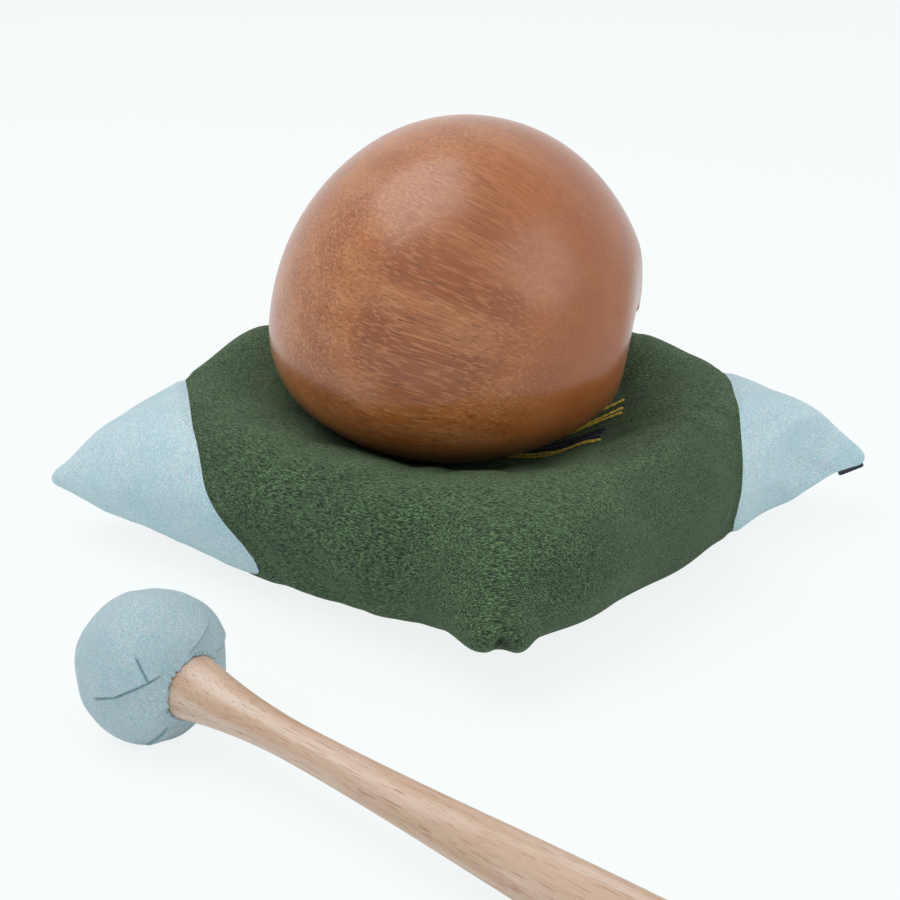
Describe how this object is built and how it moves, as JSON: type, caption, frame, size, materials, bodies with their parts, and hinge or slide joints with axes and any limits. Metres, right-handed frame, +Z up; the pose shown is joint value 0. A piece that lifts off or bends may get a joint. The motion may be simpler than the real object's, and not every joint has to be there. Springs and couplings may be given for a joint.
{
  "type": "wooden fish drum with cushion and mallet",
  "caption": "Hollow wooden fish drum with a mouth slit round one side, on a tied crepe cushion, with a cloth-headed wooden mallet.",
  "frame": {"origin": "centre of the cushion's flat underside, on the floor", "axes": "+Z up; the cushion's blue corners lie along X and its front green corner points to -Y; the drum's mouth faces +Y"},
  "size_m": [0.2421, 0.3583, 0.1225],
  "materials": {
    "drum_wood": "satin lacquer",
    "green_crepe": "pebbled silk crepe",
    "blue_weave": "fine mixed weave",
    "cotton_wadding": "loose cotton",
    "gold_thread": "twisted thread",
    "navy_thread": "twisted thread",
    "beech": "fine sanded, unvarnished",
    "core_wood": "bare",
    "head_cloth": "fine mixed weave"
  },
  "bodies": {
    "cushion": {"cushion_top_crepe": "green_crepe", "cushion_top_corner_left": "blue_weave", "cushion_top_corner_right": "blue_weave", "cushion_base_crepe": "green_crepe", "cushion_base_corner_left": "blue_weave", "cushion_base_corner_right": "blue_weave", "cushion_wadding": "cotton_wadding", "cushion_tie": "gold_thread", "tuft_gold_threads": "gold_thread", "tuft_navy_threads": "navy_thread", "tie_knot": "gold_thread", "corner_tab": "navy_thread"},
    "drum": {"drum_body": "drum_wood"},
    "mallet": {"mallet_handle": "beech", "mallet_core": "core_wood", "mallet_padding": "cotton_wadding", "mallet_cover": "head_cloth", "mallet_binding": "navy_thread"}
  },
  "joints": [
    {"name": "drum_lift", "type": "slide", "parent": "cushion", "child": "drum", "axis": [0, 0, 1], "range_m": [0, 0.12]},
    {"name": "mallet_lift", "type": "slide", "parent": "cushion", "child": "mallet", "axis": [0, 0, 1], "range_m": [0, 0.15]}
  ]
}
